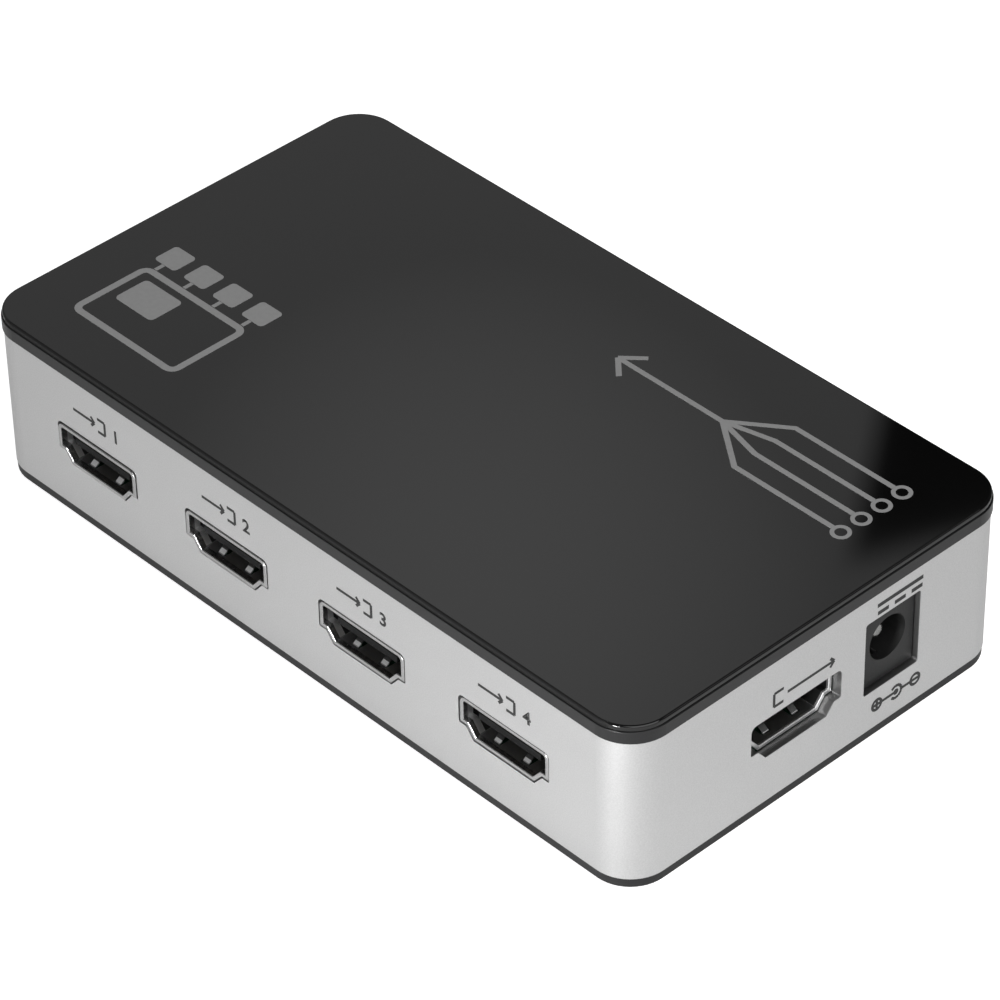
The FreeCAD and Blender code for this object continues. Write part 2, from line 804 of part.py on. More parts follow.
def make_jack():
    """The power inlet: housing, centre pin and the blade that springs into its bore."""
    front = "(half_length - jack_inset)"
    axis = "(board_top + jack_axis)"
    body = new_body("jack_body")
    plan = new_sketch(body, "XY_Plane", "board_top")
    rectangle(plan, front + " - jack_length / 2", "jack_y", "jack_length", "jack_width")
    pad(body, plan, "jack_height")
    round_edges(body, "jack_edge", straight_edges("x"))
    bore = new_sketch(body, "YZ_Plane", front)
    circle(bore, "jack_y", axis, "jack_bore")
    pocket(body, bore, "jack_bore_depth")
    slot = new_sketch(body, "XY_Plane", axis)
    rectangle(slot, front + " - blade_start - blade_length / 2", "jack_y - blade_offset",
              "blade_length + 2 * blade_gap", "blade_width + 2 * blade_gap")
    pocket(body, slot, "jack_axis - blade_seat")
    made.append(body)

    pin = new_body("jack_pin")
    section = new_sketch(pin, "YZ_Plane", front + " - jack_length - pin_tail")
    circle(section, "jack_y", axis, "pin_diameter")
    pad(pin, section, "jack_length + pin_tail - pin_recess")
    round_edges(pin, "pin_round", level_edges("x", front + " - pin_recess"))
    made.append(pin)
    hole = new_sketch(body, "YZ_Plane", front)
    circle(hole, "jack_y", axis, "pin_diameter")
    pocket(body, hole, "jack_length")

    spring = new_body("jack_spring")
    blade = new_sketch(spring, "XZ_Plane", "0 - (jack_y - blade_offset - blade_width / 2)")
    low = "board_top + blade_seat"
    touch = axis + " - jack_bore / 2 + blade_bend"
    near = front + " - blade_start"
    far = near + " - blade_length"
    outline(blade, [
        (far, low),
        (near, low),
        (near, low + " + blade_thickness"),
        (near + " - blade_length / 3", touch + " + blade_thickness"),
        (near + " - blade_length / 2", touch + " + blade_thickness"),
        (far, low + " + blade_thickness"),
    ])
    pad(spring, blade, "blade_width", backwards=True)
    made.append(spring)


def chip(label, x, y, length, width, height, corner):
    """A package standing on the board, its upright edges rounded."""
    body = new_body(label)
    plan = new_sketch(body, "XY_Plane", "board_top")
    rectangle(plan, x, y, length, width)
    pad(body, plan, height)
    round_edges(body, corner, straight_edges("z"))
    made.append(body)


# Packages on the board: name, middle, length, width, height and corner radius.
packages = (
    ("video_chip", "0 - 2", "4", "14", "14", "chip_height", "0.4"),
    ("control_chip", "26.5 - half_length", "6", "7", "7", "chip_height", "0.3"),
    ("memory_chip", "0 - 18", "10", "5", "4", "memory_chip_height", "0.2"),
    ("regulator", "half_length - 34.5", "inner_face - 17", "6.6", "6.1", "regulator_height", "0.3"),
    ("inductor", "half_length - 24", "inner_face - 16.5", "coil_width", "coil_width",
     "coil_height", "1.2"),
    ("crystal", "0 - 20", "0 - 3", "11", "4.6", "crystal_height", "2.2"),
)
capacitor_points = (
    ("half_length - 46.5", "inner_face - 12"),
    ("half_length - 36.5", "inner_face - 8.5"),
    ("half_length - 20.5", "inner_face - 8.5"),
)
behind_inputs = "(shell_depth + contact_drop + contact_tail + port_chip_gap - half_width)"
behind_output = ("(half_length - output_inset - shell_depth - contact_drop"
                 " - contact_tail - port_chip_gap)")
# Middles of the rows of small parts.
bit_rows = [(centre, behind_inputs + " + bit_gap") for centre in socket_centres] + [
    ("0 - 2", "13"),
    ("0 - 2", "0 - 5.5"),
    ("26.5 - half_length", "11.5"),
    ("half_length - 34.5", "inner_face - 22"),
]
bits_in_row = 4


def make_capacitor(index, x, y):
    can = doc.addObject("Part::Cylinder", "capacitor_can_%d" % index)
    bind(can, "Radius", "capacitor_diameter / 2")
    bind(can, "Height", "capacitor_height - capacitor_foot")
    place(can, x, y, "board_top + capacitor_foot")
    foot = box("capacitor_base_%d" % index, x, y, "board_top",
               "capacitor_diameter", "capacitor_diameter", "capacitor_foot")
    whole = doc.addObject("Part::Fuse", "capacitor_%d" % index)
    whole.Base, whole.Tool = foot, can
    return whole


def make_board_parts():
    for package in packages:
        chip(*package)
    cans = [make_capacitor(i, x, y) for i, (x, y) in enumerate(capacitor_points, start=1)]
    made.append(group("capacitors", cans))

    ports = [
        box("port_chip_%d" % i, centre, behind_inputs, "board_top",
            "port_chip_length", "port_chip_width", "small_chip_height")
        for i, centre in enumerate(socket_centres, start=1)
    ]
    ports.append(box("port_chip_5", behind_output, "output_y", "board_top",
                     "port_chip_width", "port_chip_length", "small_chip_height"))
    made.append(group("port_chips", ports))

    bits = []
    for row, (middle, y) in enumerate(bit_rows):
        for step in range(bits_in_row):
            x = "%s + bit_pitch * %.1f" % (middle, step - (bits_in_row - 1) / 2)
            bits.append(box("bit_%d_%d" % (row, step), x, y, "board_top",
                            "bit_length", "bit_width", "bit_height"))
    made.append(group("small_parts", bits))


def make_lamps():
    """Five chip lamps and the clear guide that carries their light to the wall."""
    lamps = [
        box("status_lamp_%d" % i, centre, "board_edge - led_margin - led_width / 2", "board_top",
            "led_length", "led_width", "led_height")
        for i, centre in enumerate(lamp_centres, start=1)
    ]
    made.append(group("status_lamps", lamps))

    guide = new_body("light_guide")
    middle = "(power_lamp_x - 2 * lamp_pitch)"
    room = "(4 * lamp_pitch + led_length + 2 * guide_side)"
    bar = new_sketch(guide, "XY_Plane", "board_top")
    rectangle(bar, middle, "inner_face - guide_depth / 2", room + " + 2 * guide_foot", "guide_depth")
    pad(guide, bar, "socket_height + guide_height / 2 - board_top")
    under = new_sketch(guide, "XY_Plane", "board_top")
    rectangle(under, middle, "inner_face", room, "2 * (guide_depth + overcut)")
    pocket(guide, under, "guide_room", backwards=True)
    pins = new_sketch(guide, "XZ_Plane", "0 - inner_face")
    circles(pins, [(centre, "socket_height") for centre in lamp_centres], "lamp_diameter")
    pad(guide, pins, "band_wall", backwards=True)
    made.append(guide)


def make_remote():
    """The dark window for the remote control and the receiver behind it."""
    window = new_body("ir_window")
    flange = new_sketch(window, "XZ_Plane", "0 - inner_face")
    rectangle(flange, "window_x", "socket_height",
              "window_width + 2 * window_flange", "window_height + 2 * window_flange")
    pad(window, flange, "window_flange")
    pane = new_sketch(window, "XZ_Plane", "0 - inner_face")
    rectangle(pane, "window_x", "socket_height", "window_width", "window_height")
    pad(window, pane, "band_wall", backwards=True)
    round_edges(window, "key_round", straight_edges("y", y=("inner_face", "half_width")))
    made.append(window)

    chip("ir_receiver", "window_x", "inner_face - window_flange - receiver_gap - receiver_depth / 2",
         "receiver_width", "receiver_depth", "receiver_height", "receiver_corner")


def make_key(name, x):
    """A key that slides in the wall, and the tact switch behind it."""
    cap = new_body(name + "_button")
    flange = new_sketch(cap, "XZ_Plane", "0 - flange_front")
    rectangle(flange, x, "socket_height",
              "key_width + 2 * key_flange_width", "key_height + 2 * key_flange_width")
    pad(cap, flange, "key_flange")
    face = new_sketch(cap, "XZ_Plane", "0 - flange_front")
    rectangle(face, x, "socket_height", "key_width", "key_height")
    pad(cap, face, "half_width + key_proud - flange_front", backwards=True)
    round_edges(cap, "key_round", straight_edges("y", y=("flange_front", "half_width + key_proud")))
    round_edges(cap, "key_edge", level_edges("y", "half_width + key_proud"))
    made.append(cap)

    plunger = new_body(name + "_plunger")
    steps = (
        ("stem_front", "stem_diameter", "stem_length - collar_thickness"),
        ("cover_back", "collar_diameter", "collar_thickness"),
        ("nub_end + nub_length", "nub_diameter", "nub_length"),
    )
    for start, diameter, length in steps:
        step = new_sketch(plunger, "XZ_Plane", "0 - (%s)" % start)
        circle(step, x, "socket_height", diameter)
        pad(plunger, step, length)
    made.append(plunger)

    case = new_body(name + "_switch")
    block = new_sketch(case, "XY_Plane", "board_top")
    rectangle(block, x, "cover_back - switch_depth / 2", "switch_width", "switch_depth")
    pad(case, block, "switch_height")
    bore = new_sketch(case, "XZ_Plane", "0 - cover_back")
    circle(bore, x, "socket_height", "switch_bore")
    pocket(case, bore, "cover_back - dome_top + dome_thickness", backwards=True)
    made.append(case)

    dome = new_body(name + "_dome")
    disc = new_sketch(dome, "XZ_Plane", "0 - dome_top")
    circle(disc, x, "socket_height", "dome_diameter")
    pad(dome, disc, "dome_thickness")
    made.append(dome)

    cover = new_body(name + "_switch_cover")
    sheet_plan = new_sketch(cover, "XY_Plane", "board_top")
    outside = "cover_back + cover_thickness"
    side = "(switch_width / 2)"
    flap = "(switch_width / 2 + cover_thickness)"
    back = "cover_back - switch_depth"
    outline(sheet_plan, [
        ("%s - %s" % (x, flap), back),
        ("%s - %s" % (x, side), back),
        ("%s - %s" % (x, side), "cover_back"),
        ("%s + %s" % (x, side), "cover_back"),
        ("%s + %s" % (x, side), back),
        ("%s + %s" % (x, flap), back),
        ("%s + %s" % (x, flap), outside),
        ("%s - %s" % (x, flap), outside),
    ])
    pad(cover, sheet_plan, "switch_height")
    hole = new_sketch(cover, "XZ_Plane", "0 - (%s)" % outside)
    circle(hole, x, "socket_height", "stem_diameter + 2 * stem_gap")
    pocket(cover, hole, "cover_thickness", backwards=True)
    made.append(cover)


def make_keys():
    for name, x in key_centres.items():
        make_key(name, x)


def make_socket(name, x, y, turned):
    make_shell(name % "shell", x, y, turned)
    make_tongue(name % "tongue", x, y, turned)
    make_contacts(name % "contacts", x, y, turned)


def make_sockets():
    """Four inputs in a row on the front, and the output on the right end."""
    for index, centre in enumerate(socket_centres):
        mouth = "socket_inset + socket_inset_step * %d - half_width" % index
        make_socket("input_%%s_%d" % (index + 1), centre, mouth, False)
    make_socket("output_%s", "half_length - output_inset", "output_y", True)


for make in (make_side_band, make_top_cover, make_top_plate, make_bottom_cover, make_feet,
             make_screws, make_board, make_sockets, make_jack, make_board_parts, make_lamps,
             make_remote, make_keys):
    make()
    print(make.__name__)
doc.recompute()
for thing in doc.Objects:
    if "Invalid" in thing.State or "Error" in thing.State:
        raise ValueError("%s did not build: %s" % (thing.Name, thing.State))
for piece in made:
    if piece.Shape.isNull() or not piece.Shape.isValid():
        raise ValueError("%s has no valid shape" % piece.Label)
os.makedirs("parts", exist_ok=True)
for piece in made:
    piece.Shape.exportStep("parts/%s.step" % piece.Label)
print("%d sub-parts" % len(made))
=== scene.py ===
import json
import math

import bpy
from mathutils import Matrix, Vector


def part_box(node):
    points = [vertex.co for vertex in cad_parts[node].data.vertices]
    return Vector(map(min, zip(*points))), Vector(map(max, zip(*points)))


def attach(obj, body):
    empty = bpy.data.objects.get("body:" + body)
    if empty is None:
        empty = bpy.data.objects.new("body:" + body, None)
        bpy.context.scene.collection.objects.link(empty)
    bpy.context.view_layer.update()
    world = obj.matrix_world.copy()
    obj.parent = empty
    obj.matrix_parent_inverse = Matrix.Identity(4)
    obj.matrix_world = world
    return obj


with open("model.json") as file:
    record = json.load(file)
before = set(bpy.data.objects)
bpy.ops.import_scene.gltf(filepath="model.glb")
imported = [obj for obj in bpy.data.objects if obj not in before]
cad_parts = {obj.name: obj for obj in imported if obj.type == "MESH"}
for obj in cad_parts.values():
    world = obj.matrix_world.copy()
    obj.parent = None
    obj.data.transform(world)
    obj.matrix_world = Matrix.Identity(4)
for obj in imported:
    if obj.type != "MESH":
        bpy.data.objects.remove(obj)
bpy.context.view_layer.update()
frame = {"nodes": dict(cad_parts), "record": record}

nodes = frame["nodes"]
record = frame["record"]
slotOf = {entry["node"]: entry["material_slot"] for entry in record["subparts"]}
bandLow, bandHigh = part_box("side_band")
plateLow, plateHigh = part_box("top_plate")
millimetre = 0.001
print("frame loaded:", len(nodes), "nodes")


# wraps an output socket, so that sums on it add Math nodes
class Wire:
    def __init__(self, finish, socket):
        self.finish = finish
        self.socket = socket

    def __add__(self, other):
        return self.finish.maths("ADD", self, other)

    def __radd__(self, other):
        return self.finish.maths("ADD", other, self)

    def __sub__(self, other):
        return self.finish.maths("SUBTRACT", self, other)

    def __rsub__(self, other):
        return self.finish.maths("SUBTRACT", other, self)

    def __mul__(self, other):
        return self.finish.maths("MULTIPLY", self, other)

    def __rmul__(self, other):
        return self.finish.maths("MULTIPLY", other, self)

    def __truediv__(self, other):
        return self.finish.maths("DIVIDE", self, other)

    def clipped(self):
        return self.finish.maths("MAXIMUM", self.finish.maths("MINIMUM", self, 1.0), 0.0)


# one node tree while it is being made
class Finish:
    def __init__(self, name, holder=None):
        self.holder = holder or bpy.data.materials.new(name)
        self.holder.use_nodes = True
        self.tree = self.holder.node_tree
        self.tree.nodes.clear()

    def node(self, kind, settings=None, inputs=None, output=0):
        made = self.tree.nodes.new(kind)
        for key, value in (settings or {}).items():
            if key == "stops":
                ramp = made.color_ramp.elements
                while len(ramp) < len(value):
                    ramp.new(1.0)
                for stop, (position, shade) in zip(ramp, value):
                    stop.position = position
                    stop.color = grey(shade)
            else:
                setattr(made, key, value)
        for key, value in (inputs or {}).items():
            if isinstance(value, Wire):
                self.tree.links.new(value.socket, made.inputs[key])
            else:
                made.inputs[key].default_value = value
        return Wire(self, made.outputs[output])

    def maths(self, operation, *values):
        return self.node("ShaderNodeMath", {"operation": operation}, dict(enumerate(values)))

    def place(self):
        return self.node("ShaderNodeTexCoord", output="Object")

    def axis(self, name):
        return self.node("ShaderNodeSeparateXYZ", {}, {0: self.place()}, output=name)

    def noise(self, scale, detail=2.0, roughness=0.5):
        return self.node("ShaderNodeTexNoise", {}, {
            "Vector": self.place(), "Scale": scale, "Detail": detail, "Roughness": roughness})

    def ramp(self, fac, *stops):
        return self.node("ShaderNodeValToRGB", {"stops": stops}, {"Fac": fac})

    def blend(self, fac, first, second):
        return self.node("ShaderNodeMix", {"data_type": "RGBA"}, {0: fac, 6: first, 7: second}, output=2)

    def bump(self, height, strength, distance):
        return self.node("ShaderNodeBump", {}, {
            "Height": height, "Strength": strength, "Distance": distance})

    def shader(self, **sockets):
        names = {key.replace("_", " "): value for key, value in sockets.items()}
        return self.node("ShaderNodeBsdfPrincipled", {}, names)

    def surface(self, **sockets):
        return self.close(self.shader(**sockets))

    def close(self, shader, kind="ShaderNodeOutputMaterial"):
        out = self.tree.nodes.new(kind)
        self.tree.links.new(shader.socket, out.inputs["Surface"])
        return self.holder


def grey(level):
    return (level, level, level, 1.0)


def tinted(shade, factor):
    return tuple(part * factor for part in shade) + (1.0,)


# a noise lies around one half, so this lies around zero
def wander(noise, reach):
    return (noise - 0.5) * reach


def turned(degrees, axis):
    return Matrix.Rotation(math.radians(degrees), 4, axis)


# camera
cameraView = {
    "azimuth": 47.065,
    "elevation": 38.819,
    "roll": -1.1,
    "place": (0.34739, -0.32082, 0.38961),
    "lens": 172.73,
    "sensor": 36.0,
    "nearest": 0.01,
    "farthest": 20.0,
}


def addCamera():
    bpy.ops.object.camera_add()
    camera = bpy.context.object
    turn = turned(cameraView["azimuth"], "Z") @ turned(90 - cameraView["elevation"], "X")
    turn = turn @ turned(cameraView["roll"], "Z")
    camera.matrix_world = Matrix.Translation(cameraView["place"]) @ turn
    camera.data.lens = cameraView["lens"]
    camera.data.sensor_width = cameraView["sensor"]
    camera.data.clip_start = cameraView["nearest"]
    camera.data.clip_end = cameraView["farthest"]
    bpy.context.scene.camera = camera


addCamera()
print("camera placed")


# finishes, one for each slot of the record
plateFinish = {
    "shade": 0.0035,
    "roughness": 0.03,
    "cloud": 35.0,
    "cloudDetail": 3.0,
    "wander": 0.02,
    "refraction": 1.5,
    "edge": 0.00031,
    "edgeFade": 0.00005,
    "edgeShade": 0.008,
    "edgeRoughness": 0.5,
    "edgeGleam": 0.16,
}


def glossyPlate(name):
    finish = Finish(name)
    cloud = finish.noise(plateFinish["cloud"], plateFinish["cloudDetail"])
    y = finish.axis("Y")
    # painted shade: a strip along the front (-Y) edge of the plate gets a rough, low-gloss finish so that it
    # reads as a dark band; the other edges keep the gloss
    edge = ((plateLow.y + plateFinish["edge"] - y) / plateFinish["edgeFade"]).clipped()
    gloss = finish.shader(
        Base_Color=grey(plateFinish["shade"]),
        Roughness=plateFinish["roughness"] + wander(cloud, plateFinish["wander"]),
        IOR=plateFinish["refraction"],
    )
    paintedShadeEdge = finish.shader(
        Base_Color=grey(plateFinish["edgeShade"]),
        Roughness=plateFinish["edgeRoughness"],
        Specular_IOR_Level=plateFinish["edgeGleam"],
    )
    return finish.close(finish.node("ShaderNodeMixShader", {}, {0: edge, 1: gloss, 2: paintedShadeEdge}))


bandFinish = {
    "dark": 0.62,
    "light": 0.68,
    "darkStop": 0.35,
    "lightStop": 0.65,
    "roughness": 0.38,
    "grain": 5200.0,
    "grainRoughness": 0.6,
    "grainWander": 0.1,
    "cloud": 40.0,
    "cloudWander": 0.06,
    "bump": 0.35,
    "depth": 0.00002,
    "cutShade": 0.3,
    "cutReach": 0.0002,
    "cutFrom": -0.013,
    "cutTo": 0.019,
}


def satinMetal(name):
    finish = Finish(name)
    grain = finish.noise(bandFinish["grain"], roughness=bandFinish["grainRoughness"])
    cloud = finish.noise(bandFinish["cloud"])
    mix = finish.ramp(grain, (bandFinish["darkStop"], 0.0), (bandFinish["lightStop"], 1.0))
    shade = finish.blend(mix, grey(bandFinish["dark"]), grey(bandFinish["light"]))
    x = finish.axis("X")
    y = finish.axis("Y")
    # painted shade: the walls of the cut-outs in the +X end are painted dark, the front's cut-outs are not
    shadedCutWalls = ((bandHigh.x - x) / bandFinish["cutReach"]).clipped()  # the walls of the end's cut-outs
    shadedCutWalls = shadedCutWalls * finish.maths("GREATER_THAN", x, 0.0)
    shadedCutWalls = shadedCutWalls * finish.maths("GREATER_THAN", y, bandFinish["cutFrom"])
    shadedCutWalls = shadedCutWalls * finish.maths("LESS_THAN", y, bandFinish["cutTo"])
    roughness = bandFinish["roughness"] + wander(cloud, bandFinish["cloudWander"])
    return finish.surface(
        Base_Color=finish.blend(shadedCutWalls, shade, grey(bandFinish["cutShade"])),
        Metallic=1.0,
        Roughness=roughness + wander(grain, bandFinish["grainWander"]),
        Normal=finish.bump(grain, bandFinish["bump"], bandFinish["depth"]),
    )


mouldedFinish = {
    "grain": 3000.0,
    "grainRoughness": 0.6,
    "dark": 0.9,
    "light": 1.1,
    "wander": 0.15,
    "bump": 0.3,
    "depth": 0.00001,
}


def matteMoulding(name, shade, roughness, gleam=0.5):
    finish = Finish(name)
    speckle = finish.noise(mouldedFinish["grain"], roughness=mouldedFinish["grainRoughness"])
    dark = tinted(shade, mouldedFinish["dark"])
    light = tinted(shade, mouldedFinish["light"])
    return finish.surface(
        Base_Color=finish.blend(speckle, dark, light),
        Roughness=roughness + wander(speckle, mouldedFinish["wander"]),
        Specular_IOR_Level=gleam,
        Normal=finish.bump(speckle, mouldedFinish["bump"], mouldedFinish["depth"]),
    )


platedFinish = {"cloud": 2500.0, "dark": 0.85, "wander": 0.15}


def platedMetal(name, shade, roughness):
    finish = Finish(name)
    cloud = finish.noise(platedFinish["cloud"])
    return finish.surface(
        Base_Color=finish.blend(cloud, tinted(shade, platedFinish["dark"]), tinted(shade, 1.0)),
        Metallic=1.0,
        Roughness=roughness + wander(cloud, platedFinish["wander"]),
    )


shellFinish = {
    "shade": 0.49,
    "tabShade": 0.1,
    "paintedGlintShade": 0.95,
    "ringHighlightShade": 0.95,
    "mouth": 0.25,
    "deep": 0.33,
    "cloud": 2500.0,
    "wander": 0.1,
    "mouthDepth": 0.0008,
    "paintedGlintDepth": 0.0017,
    "level": 0.0121,
    "tabReach": 0.0022,
    "ringReach": 0.0018,
}


def shellMetal(name):
    finish = Finish(name)
    cloud = finish.noise(shellFinish["cloud"])
    x = finish.axis("X")
    y = finish.axis("Y")
    z = finish.axis("Z")
    depth = finish.maths("MINIMUM", y - bandLow.y, bandHigh.x - x)
    deep = finish.maths("GREATER_THAN", depth, shellFinish["mouthDepth"])
    height = finish.maths("ABSOLUTE", z - shellFinish["level"])
    # painted shade: deep in the shell, the spring tabs and the inner wall faces near the middle height are
    # painted dark
    paintedShadeTab = deep * finish.maths("LESS_THAN", height, shellFinish["tabReach"])
    # painted glint: the front part of each tab is painted bright
    paintedGlint = paintedShadeTab * finish.maths("LESS_THAN", depth, shellFinish["paintedGlintDepth"])
    # painted highlight: the output shell's mouth ring next to the end face is painted bright
    paintedHighlightRing = finish.maths("GREATER_THAN", x, bandHigh.x - shellFinish["ringReach"])
    shade = finish.blend(paintedShadeTab, grey(shellFinish["shade"]), grey(shellFinish["tabShade"]))
    shade = finish.blend(paintedGlint, shade, grey(shellFinish["paintedGlintShade"]))
    roughness = shellFinish["mouth"] + deep * (shellFinish["deep"] - shellFinish["mouth"])
    return finish.surface(
        Base_Color=finish.blend(paintedHighlightRing, shade, grey(shellFinish["ringHighlightShade"])),
        Metallic=1.0,
        Roughness=roughness + wander(cloud, shellFinish["wander"]),
    )


guideFinish = {
    "shade": (0.86, 0.88, 0.88),
    "alpha": 0.55,
    "refraction": 1.49,
    "roughness": 0.25,
    "cloud": 600.0,
    "wander": 0.1,
}


def clearMoulding(name):
    finish = Finish(name)
    cloud = finish.noise(guideFinish["cloud"])
    return finish.surface(
        Base_Color=tinted(guideFinish["shade"], 1.0),
        Roughness=guideFinish["roughness"] + wander(cloud, guideFinish["wander"]),
        Alpha=guideFinish["alpha"],
        IOR=guideFinish["refraction"],
    )


# each slot's finish, its colour, roughness and gleam
finishes = {
    "plate_gloss": (glossyPlate,),
    "cover_black": (matteMoulding, (0.006, 0.006, 0.0063), 0.32, 0.42),
    "band_silver": (satinMetal,),
    "base_black": (matteMoulding, (0.012, 0.012, 0.0125), 0.42, 0.3),
    "foot_rubber": (matteMoulding, (0.022, 0.022, 0.022), 0.8),
    "screw_steel": (platedMetal, (0.2, 0.2, 0.21), 0.35),
    "board_green": (matteMoulding, (0.012, 0.09, 0.045), 0.3),
    "socket_metal": (shellMetal,),
    "socket_black": (matteMoulding, (0.004, 0.004, 0.004), 0.5, 0.12),
    "contact_gold": (platedMetal, (0.5, 0.45, 0.36), 0.35),
    "jack_black": (matteMoulding, (0.01, 0.01, 0.01), 0.45, 0.36),
    "pin_metal": (platedMetal, (0.4, 0.4, 0.39), 0.25),
    "blade_metal": (platedMetal, (0.68, 0.67, 0.65), 0.22),
    "chip_black": (matteMoulding, (0.02, 0.02, 0.02), 0.5),
    "coil_grey": (matteMoulding, (0.06, 0.06, 0.06), 0.6),
    "can_silver": (platedMetal, (0.6, 0.6, 0.6), 0.3),
    "crystal_metal": (platedMetal, (0.6, 0.6, 0.58), 0.25),
    "bit_tan": (matteMoulding, (0.25, 0.17, 0.1), 0.5),
    "lamp_white": (matteMoulding, (0.75, 0.75, 0.7), 0.35),
    "guide_clear": (clearMoulding,),
    "window_dark": (matteMoulding, (0.02, 0.004, 0.006), 0.12),
    "receiver_dark": (matteMoulding, (0.012, 0.01, 0.014), 0.2),
    "key_black": (matteMoulding, (0.016, 0.016, 0.017), 0.35),
    "plunger_white": (matteMoulding, (0.5, 0.5, 0.48), 0.45),
    "switch_black": (matteMoulding, (0.02, 0.02, 0.02), 0.5),
    "switch_metal": (platedMetal, (0.55, 0.55, 0.54), 0.3),
}
made = {name: make(name, *values) for name, (make, *values) in finishes.items()}
for name, thing in nodes.items():
    for holder in thing.material_slots:
        holder.material = made[slotOf[name]]
print("finishes made:", len(made))


# prints, drawn in millimetres on a flat sheet and then laid on a face
printInk = {
    "depth": 0.02,
    "sink": 0.01,
    "layer": 0.0004,
    "roundSides": 40,
    "cornerSteps": 6,
    "dark": 0.006,
    "darkRoughness": 0.45,
    "pale": 0.27,
    "paleRoughness": 0.4,
    "cloud": 1500.0,
    "least": 0.9,
    "most": 1.1,
    "wander": 0.1,
}
faces = {
    "front": Matrix(((1, 0, 0, 0), (0, 0, -1, bandLow.y / millimetre), (0, 1, 0, 0), (0, 0, 0, 1))),
    "end": Matrix(((0, 0, 1, bandHigh.x / millimetre), (1, 0, 0, 0), (0, 1, 0, 0), (0, 0, 0, 1))),
    "top": Matrix(((-1, 0, 0, 0), (0, -1, 0, 0), (0, 0, 1, plateHigh.z / millimetre), (0, 0, 0, 1))),
}


def nothingSelected():
    bpy.ops.object.select_all(action="DESELECT")


def bar(x, y, length, width, turn=0.0):
    nothingSelected()
    bpy.ops.mesh.primitive_plane_add(size=1.0)
    piece = bpy.context.object
    size = Matrix.Diagonal((length, width, 1, 1))
    piece.data.transform(Matrix.Translation((x, y, 0)) @ turned(turn, "Z") @ size)
    return piece


def stroke(first, last, width):
    run = Vector(last) - Vector(first)
    middle = (Vector(first) + Vector(last)) / 2
    return bar(middle.x, middle.y, run.length, width, math.degrees(math.atan2(run.y, run.x)))


def disc(x, y, radius):
    nothingSelected()
    bpy.ops.mesh.primitive_circle_add(
        vertices=printInk["roundSides"], radius=radius, fill_type="NGON", location=(x, y, 0))
    bpy.ops.object.transform_apply(location=True)
    return bpy.context.object


def softBox(x, y, length, height, corner):
    piece = bar(x, y, length, height)
    bpy.ops.object.mode_set(mode="EDIT")
    bpy.ops.mesh.select_all(action="SELECT")
    bpy.ops.mesh.bevel(offset=corner, segments=printInk["cornerSteps"], affect="VERTICES")
    bpy.ops.object.mode_set(mode="OBJECT")
    return piece


# leaves a rim of the given width
def hollowed(piece, width):
    bpy.ops.object.mode_set(mode="EDIT")
    bpy.ops.mesh.select_all(action="SELECT")
    bpy.ops.mesh.inset(thickness=width)
    bpy.ops.mesh.delete(type="FACE")
    bpy.ops.object.mode_set(mode="OBJECT")
    return piece


def ring(x, y, radius, width):
    return hollowed(disc(x, y, radius), width)


def layPrint(name, parts, face, ink):
    nothingSelected()
    for step, part in enumerate(parts):
        part.data.transform(Matrix.Translation((0, 0, step * printInk["layer"])))
        part.select_set(True)
    bpy.context.view_layer.objects.active = parts[0]
    bpy.ops.object.join()
    piece = bpy.context.object
    piece.name = name
    thick = piece.modifiers.new("thickness", "SOLIDIFY")
    thick.thickness = printInk["depth"]
    thick.offset = 1.0
    bpy.ops.object.modifier_apply(modifier=thick.name)
    sunk = Matrix.Translation((0, 0, -printInk["sink"]))
    piece.data.transform(Matrix.Scale(millimetre, 4) @ faces[face] @ sunk)
    piece.data.materials.clear()
    piece.data.materials.append(ink)
    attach(piece, "housing")


def inkFinish(name, level, roughness):
    finish = Finish(name)
    cloud = finish.noise(printInk["cloud"])
    shade = finish.blend(cloud, grey(level * printInk["least"]), grey(level * printInk["most"]))
    return finish.surface(Base_Color=shade, Roughness=roughness + wander(cloud, printInk["wander"]))


darkInk = inkFinish("darkInk", printInk["dark"], printInk["darkRoughness"])
paleInk = inkFinish("paleInk", printInk["pale"], printInk["paleRoughness"])

# the labels of the sockets: an arrow that goes into a bracket, with a numeral, or comes out of one
socketLabel = {
    "base": 17.7,
    "height": 2.0,
    "line": 0.42,
    "barb": 0.7,
    "numeral": 4.1,
    "numeralScale": 1.37,
    "numeralWeight": 0.07,
    "numeralSteps": 6,
}
inArrow = {"shift": -2.1, "drop": 0.0, "length": 4.2, "side": 1, "gap": 0.6, "bracket": 1.4}
outArrow = {"shift": 2.3, "drop": 1.4, "length": 8.0, "side": -1, "gap": 0.7, "bracket": 1.6}


def numeral(text, x, y):
    nothingSelected()
    bpy.ops.object.text_add(location=(x, y, 0))
    piece = bpy.context.object
    piece.data.body = text
    piece.data.size = socketLabel["height"] * socketLabel["numeralScale"]
    piece.data.offset = socketLabel["numeralWeight"]
    piece.data.align_x = "CENTER"
    piece.data.resolution_u = socketLabel["numeralSteps"]
    bpy.ops.object.convert(target="MESH")
    bpy.ops.object.transform_apply(location=True)
    return bpy.context.object


